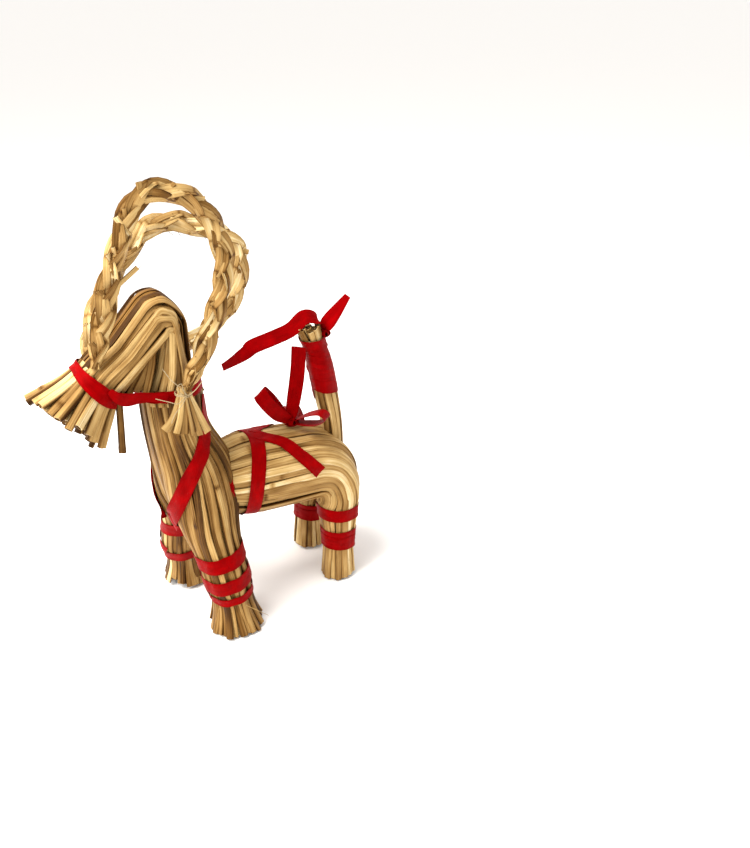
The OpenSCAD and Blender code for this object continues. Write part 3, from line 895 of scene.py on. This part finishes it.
def band(heap, tree, sections, side, z0, z1, width, a0=0, a1=360, sag=0.0, **more):
    """Ribbon wound on a leg or the tail from one angle and height to another."""
    whole = (a1 - a0) == 360 and z0 == z1
    n = max(8, int(abs(a1 - a0) / 5))
    share = np.arange(n) / n if whole else np.linspace(0, 1, n)
    angle = np.radians(a0 + (a1 - a0) * share)
    z = z0 + (z1 - z0) * share + sag * np.sin(angle)
    x, y, wide, deep = section_at(sections, z)
    centre = np.stack([side * (x + wide * np.cos(angle)), y + deep * np.sin(angle), z], 1)
    along = np.gradient(np.vstack([centre[-1:], centre, centre[:1]]) if whole else centre, axis=0)
    along = along[1:-1] if whole else along
    away = centre - np.stack([side * x, y, z], 1)
    across = unit(np.cross(unit(along), unit(away)))
    return laid(heap, tree, centre, across, leg_foot(sections, side), width, loop=whole, **more)


# ---- build

make_camera()
make_light()
make_floor()
straw_skin = straw_material("dry_straw", 0.0, 0.8)
plait_skin = straw_material("flat_straw", 0.05, 0.6)
satin = satin_material()
linen = thread_material()

head_heap = head()
beard_heap = beard()
front = {side: front_leg(side) for side in (LEFT, RIGHT)}
body_heap, hind = body_and_hind_legs()
tail_heap = tail()

sliver(front[LEFT], [[48, 4, 24], [53, 8, 22], [60, 14, 19]], 0.4)
sliver(front[LEFT], [[40, -12, 24], [41, -17, 12], [40.5, -19, 3]], 0.4)

for heap, name, node, behind in (
    (head_heap, "head_straws", "head_fold", False),
    (beard_heap, "beard_straws", "beard", False),
    (beard_long_straw(), "beard_long_straw_skin", "beard_long_straw", False),
    (front[LEFT], "front_left_leg_straws", "front_left_leg_sheaf", False),
    (front[RIGHT], "front_right_leg_straws", "front_right_leg_sheaf", False),
    (body_heap, "body_straws", "body_sheaf", True),
    (hind[LEFT], "hind_left_leg_straws", "hind_left_leg_sheaf", True),
    (hind[RIGHT], "hind_right_leg_straws", "hind_right_leg_sheaf", True),
    (tail_heap, "tail_straws", "tail_sheaf", True),
):
    heap.piece(name, straw_skin, node, "straw", behind)

# straw ends that stand off the plaits: distance along the horn, lean out of its edge in radians, length, width
STRAYS = {
    "left": [
        (12, -0.8, 7, 3.0), (30, -0.7, 7, 3.4), (42, -0.9, 8, 3.0), (46, 0.62, 21, 2.8), (62, -0.8, 8, 3.4),
        (66, -0.6, 7, 2.4), (82, -0.9, 9, 3.4), (86, -0.5, 8, 2.6), (101, -1.1, 9, 3.6), (103, -0.7, 9, 3.0),
        (115, -0.9, 7, 2.6), (128, -0.35, 10, 3.4), (150, -0.5, 9, 3.2), (176, 0.75, 8, 2.4), (190, 0.6, 9, 3.2),
        (196, 0.9, 7, 2.6), (212, -0.6, 8, 3.0), (228, 0.6, 7, 2.6),
    ],
    "right": [
        (18, -0.8, 7, 3.0), (36, -0.7, 8, 3.0), (70, 0.6, 7, 2.4), (96, -0.4, 9, 3.0), (120, 0.5, 8, 2.6),
        (132, -0.5, 8, 3.0), (150, -0.7, 8, 3.2), (168, -0.5, 8, 3.0), (186, -0.6, 7, 3.0), (200, 0.6, 8, 2.6),
        (215, -0.5, 7, 2.6),
    ],
}
# split fibres that stand off the plaits: distance, lean, length
FIBRES = {"left": [(50, 0.9, 16)], "right": [(98, 1.0, 6), (106, 1.3, 5), (124, 1.1, 4)]}
for name, line in (("left", LEFT_HORN), ("right", RIGHT_HORN)):
    for number in range(3):
        strand = horn_strand(line, number)
        for at, lean, long, width in STRAYS[name][number::3]:
            horn_stray(strand, line, at, lean, long, width)
        for at, lean, long in FIBRES[name][number::3]:
            horn_fibre(strand, line, at, lean, long)
        node = f"{name}_horn_strand_{number + 1}"
        strand.piece(f"{name}_horn_plait_{number + 1}", plait_skin, node, "plaited_straw", sharp=20)
horn_tuft(LEFT_TUFT, LEFT).piece("left_horn_tuft_straws", plait_skin, "left_horn_tuft", "plaited_straw")
horn_tuft(RIGHT_TUFT, RIGHT).piece("right_horn_tuft_straws", plait_skin, "right_horn_tuft", "plaited_straw")

# ---- ribbon pieces


def tree_of(*heaps):
    points, faces, base = [], [], 0
    for heap in heaps:
        points += np.vstack(heap.points).tolist()
        faces += [[i + base for i in f] for f in heap.faces]
        base = len(points)
    return BVHTree.FromPolygons(points, faces)


def wear(heap, length, node, behind=False):
    """Makes a piece of satin ribbon in place of its node; the ribbon is 10 mm stock."""
    made = heap.piece(node + "_satin", satin, node, "ribbon", behind)


def wound(node, tree, sections, side, turns, behind=False):
    """A ribbon piece of several turns: from height, to height, width and the rest of what band() takes."""
    heap = Heap()
    length = sum(band(heap, tree, sections, side, *turn, **more) for *turn, more in turns)
    wear(heap, length, node, behind)


def slanting(node, tree, p, foot, width, extra, behind=False):
    """A ribbon piece laid along the points p."""
    heap = Heap()
    across = unit(np.cross(np.gradient(p, axis=0), p - np.array([foot(q) for q in p])))
    wear(heap, laid(heap, tree, p, across, foot, width, extra=extra), node, behind)


def flying(node, held, *strips):
    """A ribbon piece of strips that stand free behind the neck."""
    heap = Heap()
    wear(heap, sum(free(heap, *strip) for strip in strips), node, behind=True)


front_tree = tree_of(front[LEFT], front[RIGHT])
neck_tree = tree_of(front[LEFT], front[RIGHT], head_heap)
muzzle_tree = tree_of(head_heap, beard_heap)
body_tree = tree_of(body_heap)
tail_tree = tree_of(tail_heap)

# halter
tilt = radians(MUZZLE_TILT)
MUZZLE_AHEAD, MUZZLE_UP = np.array([[0, -sin(tilt), cos(tilt)], [0, cos(tilt), sin(tilt)]])


def muzzle_foot(q):
    return MUZZLE + MUZZLE_AHEAD * float((q - MUZZLE) @ MUZZLE_AHEAD)


heap = Heap()
turn = np.radians(np.arange(0, 360, 5.0))
centre = MUZZLE + MUZZLE_R * (np.outer(np.cos(turn), [1, 0, 0]) + np.outer(np.sin(turn), MUZZLE_UP))
upper, lower = np.clip(np.sin(turn), 0, 1) ** 2, np.clip(-np.sin(turn), 0, 1) ** 2
slide = 1.2 + 3.0 * np.clip(np.cos(turn), 0, 1) + 1.2 * upper - 3.4 * lower
centre = centre + np.outer(slide, MUZZLE_AHEAD)
width = 9.6 - 3.6 * upper
across = np.tile(MUZZLE_AHEAD, (len(turn), 1))
length = laid(heap, muzzle_tree, centre, across, muzzle_foot, width, loop=True, extra=0.3, pleat=0.8)
wear(heap, length, "muzzle_ribbon")

NECK_Z = 175.0
heap = Heap()
neck = [[0, -12, 160, 0, 19, 19], [0, -12, 190, 0, 18.5, 18.5]]
length = band(heap, neck_tree, neck, LEFT, NECK_Z, NECK_Z, 7.5)
for side in (LEFT, RIGHT):
    link = np.array([[17, -53.5, 188.4], [17.8, -50, 183.6], [17.4, -44.5, 180.2], [17.2, -36, 179],
                     [18.2, -28, 177.4], [19.6, -21, NECK_Z + 0.5]]) * [side, 1, 1]
    across = [[0, 0.75, 0.65], [0, 0.6, 0.8], [0.1, 0.3, 0.95], [0.05, 0.1, 1], [0, 0, 1], [0, 0, 1]]
    length += free(heap, link, across, [3.5, 6.5, 8.5, 7, 6, 7.5])
wear(heap, length, "neck_ribbon")

# chest diagonals: angle round the chest and height
CHEST_LEFT = [[65, 166], [45, 152], [6, 134], [-30, 117], [-58, 97], [-78, 82], [-88, 73]]
CHEST_RIGHT = [[115, 166], [150, 152], [190, 134], [216, 116], [230, 100], [240, 84], [246, 72]]


def chest_foot(q):
    return np.array([0.0, section_at(front_sections(LEFT), q[2])[1], q[2]])


for route, node in ((CHEST_LEFT, "chest_ribbon_left"), (CHEST_RIGHT, "chest_ribbon_right")):
    points = []
    for angle, z in route:
        x, y, wide, deep = section_at(front_sections(LEFT), z)
        a = radians(angle)
        points.append([(x + wide) * cos(a), y + deep * sin(a), z])
    slanting(node, front_tree, smooth(points, 12), chest_foot, RIBBON_W, 0.15)

# legs
wound("front_left_leg_ribbon", tree_of(front[LEFT]), front_sections(LEFT), LEFT, (
    (56, 56, RIBBON_W, {"sag": 1.5}), (39.5, 39.5, RIBBON_W, {"sag": 1.5}), (27.5, 27.5, 5.5, {"sag": 1}),
    (39, 28, 5, {"a0": 185, "a1": 275, "extra": 0.25})))
wound("front_right_leg_ribbon", tree_of(front[RIGHT]), front_sections(RIGHT), RIGHT, (
    (58.5, 58.5, RIBBON_W, {"sag": 1.5}), (32, 32, RIBBON_W - 2, {"sag": 1.5}),
    (54, 36, 7, {"a0": 30, "a1": -110, "extra": 0.3})))
for side, node in ((LEFT, "hind_left_leg_ribbon"), (RIGHT, "hind_right_leg_ribbon")):
    wound(node, tree_of(hind[side]), HIND_SECTIONS[3:], side, (
        (54, 54, RIBBON_W - 1, {"sag": -1}), (36, 36, RIBBON_W, {"sag": -1}),
        (31.5, 31.5, RIBBON_W, {"sag": -1.5, "extra": 0.35})), behind=True)

# body band and its diagonals
def body_foot(q):
    s = np.asarray(BODY_SECTIONS)
    return np.array([0.0, q[1], np.interp(q[1], s[:, 1], s[:, 2])])


def on_body(angle, y):
    s = np.asarray(BODY_SECTIONS)
    z, r = np.interp(y, s[:, 1], s[:, 2]), np.interp(y, s[:, 1], s[:, 4])
    a = np.radians(angle)
    return np.stack([r * np.cos(a), y * np.ones_like(a), z + r * np.sin(a)], -1)


heap = Heap()
turn = np.arange(-180, 180, 4.0)
band_y = np.interp(abs(turn), [0, 15, 45, 68, 107, 180], [41, 40.5, 35.5, 31, 27, 25.5])
band_y = sum(np.roll(band_y, k) for k in (1, -1, 2, -2, 0)) / 5
centre = on_body(90 + turn, band_y)
ahead = np.roll(centre, -1, 0) - np.roll(centre, 1, 0)
across = unit(np.cross(ahead, centre - np.array([body_foot(q) for q in centre])))
length = laid(heap, body_tree, centre, across, body_foot, RIBBON_W, loop=True)
front_ring = on_body(turn, np.full(len(turn), 12.8))
length += laid(heap, body_tree, front_ring, np.tile([0, 1.0, 0], (len(turn), 1)), body_foot, 4.0, loop=True)
wear(heap, length, "body_ribbon", behind=True)

CROSS = np.array([[88, 41], [76, 48], [62, 57], [40, 65], [20, 73], [10, 77]])  # angle and y
for angles, node in ((CROSS[:, 0], "body_cross_ribbon_left"), (180 - CROSS[:, 0], "body_cross_ribbon_right")):
    route = smooth(on_body(angles, CROSS[:, 1]), 10)
    slanting(node, body_tree, route, body_foot, RIBBON_W * 0.92, 0.35, behind=True)

# bow on the back
flying("back_bow_loops", "folded",
       ([[1, 69, 125.5], [3.5, 60.5, 133], [4.5, 53, 142], [3, 48.5, 149.5], [-0.5, 48.5, 152], [-3.5, 52, 149],
         [-4.5, 58.5, 140], [-2, 67, 128]], [0.1, 0.72, 0.68], [6, 10, 10, 10, 10, 10, 10, 6]),
       ([[0, 72, 124], [9, 78, 131], [18, 84, 135], [21, 87, 131], [15, 83, 126], [7, 77, 124], [0, 72, 123]],
        [-0.6, 0.8, 0], [5, 9, 10, 10, 10, 9, 5]))
flying("back_bow_ends", "hung",
       ([[0, 70, 126], [0, 72, 135], [0, 75.3, 150], [0, 77.5, 163], [0, 79, 178]], [0.59, 0.71, -0.14],
        [6, 9, 10, 10, 10], 0.8),
       ([[0, 71, 124], [-14, 77, 125], [-27, 85, 119], [-35, 92, 107], [-40, 97, 91]], [0.5, 0.85, 0],
        [6, 10, 10, 10, 10], 0.8))

# tail wraps and bow
wound("tail_ribbon", tail_tree, TAIL_SECTIONS, LEFT, (
    (179, 179, 8, {"sag": 1, "extra": 0.8}),
    *((z, z - 9, RIBBON_W, {"a0": -90, "a1": 270, "extra": 0.2}) for z in (176, 167, 158, 149))), behind=True)
flying("tail_bow_ends", "hung",
       ([[1, 97, 186], [1, 93, 195], [0, 84, 198], [-1, 74, 191], [-1, 61, 188], [-2, 47, 185], [-2, 42, 182],
         [-3, 34, 178], [-3, 25, 175]],
        [[-0.3, -0.5, 0.6], [-0.5, -0.3, 0.7], *[[-0.6, -0.1, 0.7]] * 4, [-0.2, 0.1, 1], [0.1, 0.2, 1],
         [0.3, 0.2, 0.9]],
        [6, 9, 10, 10, 10, 10, 9, 8, 7]),
       ([[1, 97, 186], [2, 100, 191], [3, 105, 197], [4, 115, 208]], [0.7, 0.45, -0.55], [7, 10, 9, 4.5]))


def knot(at, size, name):
    """A knot: two short turns of ribbon drawn tight over each other."""
    heap, length = Heap(), 0.0
    at = np.asarray(at, float)
    turn = np.radians(np.arange(0, 360, 12.0))
    for tilt, radius, width in ((0.35, size * 0.86, 8.6), (-0.5, size, 8.0)):
        axis = unit([cos(tilt), sin(tilt), 0.25])
        first = unit(np.cross(axis, [0, 0, 1]))
        second = np.cross(axis, first)
        share = np.linspace(-1, 1, COLUMNS)
        around = np.outer(np.cos(turn), first) + np.outer(np.sin(turn) * 0.75, second)
        swell = radius * (1 - 0.22 * share**2)[None, :] * (1 + 0.06 * np.sin(3 * turn))[:, None]
        pleat = 0.25 * np.sin(6 * share + 1.0)[None, :]
        grid = at + around[:, None] * (swell + pleat)[..., None] + axis * (share * width / 2)[None, :, None]
        length += ribbon(heap, grid, loop=True)
    wear(heap, length, name, behind=True)


knot([0, 70.5, 123.5], 4.2, "back_bow_knot")
knot([1, 97, 184], 4.0, "tail_bow_knot")

# ---- thread

TURNS, TIE_R, TURN_PITCH = 2, 5.0, 0.95  # of the thread round a plait's end
THREAD_R, LOOSE_R = 0.27, 0.24


def cord_line(heap, p, radius):
    """A round thread through the rows of p."""
    ahead = unit(np.gradient(p, axis=0))
    side = unit(np.cross(ahead, [0.31, 0.22, 0.93]))
    up = np.cross(side, ahead)
    angle = np.arange(7) * 2 * pi / 7
    ring = side[:, None] * np.cos(angle)[:, None] + up[:, None] * np.sin(angle)[:, None]
    rings = p[:, None] + ring * radius
    heap.tube(rings, 0 * rings, 0 * rings)  # the thread's material reads neither lie nor tone


def tie_thread(line, side, ends, name):
    """Turns of thread round the plait's end, and the loose ends of its knot."""
    heap = Heap()
    at = np.array(line[-1], float)
    a = np.radians(np.arange(0, 360 * TURNS + 1, 12.0))
    wave = np.stack([TIE_R * np.cos(a), TIE_R * np.sin(a), (a / (2 * pi) - TURNS / 2) * TURN_PITCH], 1)
    cord_line(heap, at + wave, THREAD_R)
    for points in ends:
        cord_line(heap, smooth(at + np.array(points, float) * [side, 1, 1], 6), LOOSE_R)
    heap.piece(name + "_strand", linen, name, "thread")


LEFT_ENDS = [
    [[5, 0, 0.5], [6, -3, 6], [4.5, -8, 12], [3, -12, 20]],
    [[5, 0, 0.5], [6.5, -4, 3], [7, -6, 8], [6, -3, 9], [6, -2, 5], [5.4, -1, 1]],
    [[5, 1, 0], [6.5, 5, 3], [7, 9, 7], [6, 14, 10]],
    [[5, -1, 0], [6, -6, -3], [5, -11, -1], [2, -18, 2]],
    [[5, 0, 0], [6.4, -4, -4], [6.2, -9, -9], [6.5, -12, -14]],
]
RIGHT_ENDS = [
    [[5, 0, 0.5], [6, -3, 6], [5.5, -6, 12]],
    [[5, 1, 0], [6.5, 5, -3], [7, 9, -8], [6, 12, -14]],
]
tie_thread(LEFT_HORN, LEFT, LEFT_ENDS, "left_horn_tie_thread")
tie_thread(RIGHT_HORN, RIGHT, RIGHT_ENDS, "right_horn_tie_thread")
for name in (
    "muzzle_binding_thread", "neck_binding_thread", "front_leg_binding_threads", "hind_leg_binding_threads",
    "body_front_binding_thread", "body_rear_binding_thread", "tail_binding_thread",
):
    carried = bpy.data.objects[name]
    carried.data.materials.clear()
    carried.data.materials.append(linen)
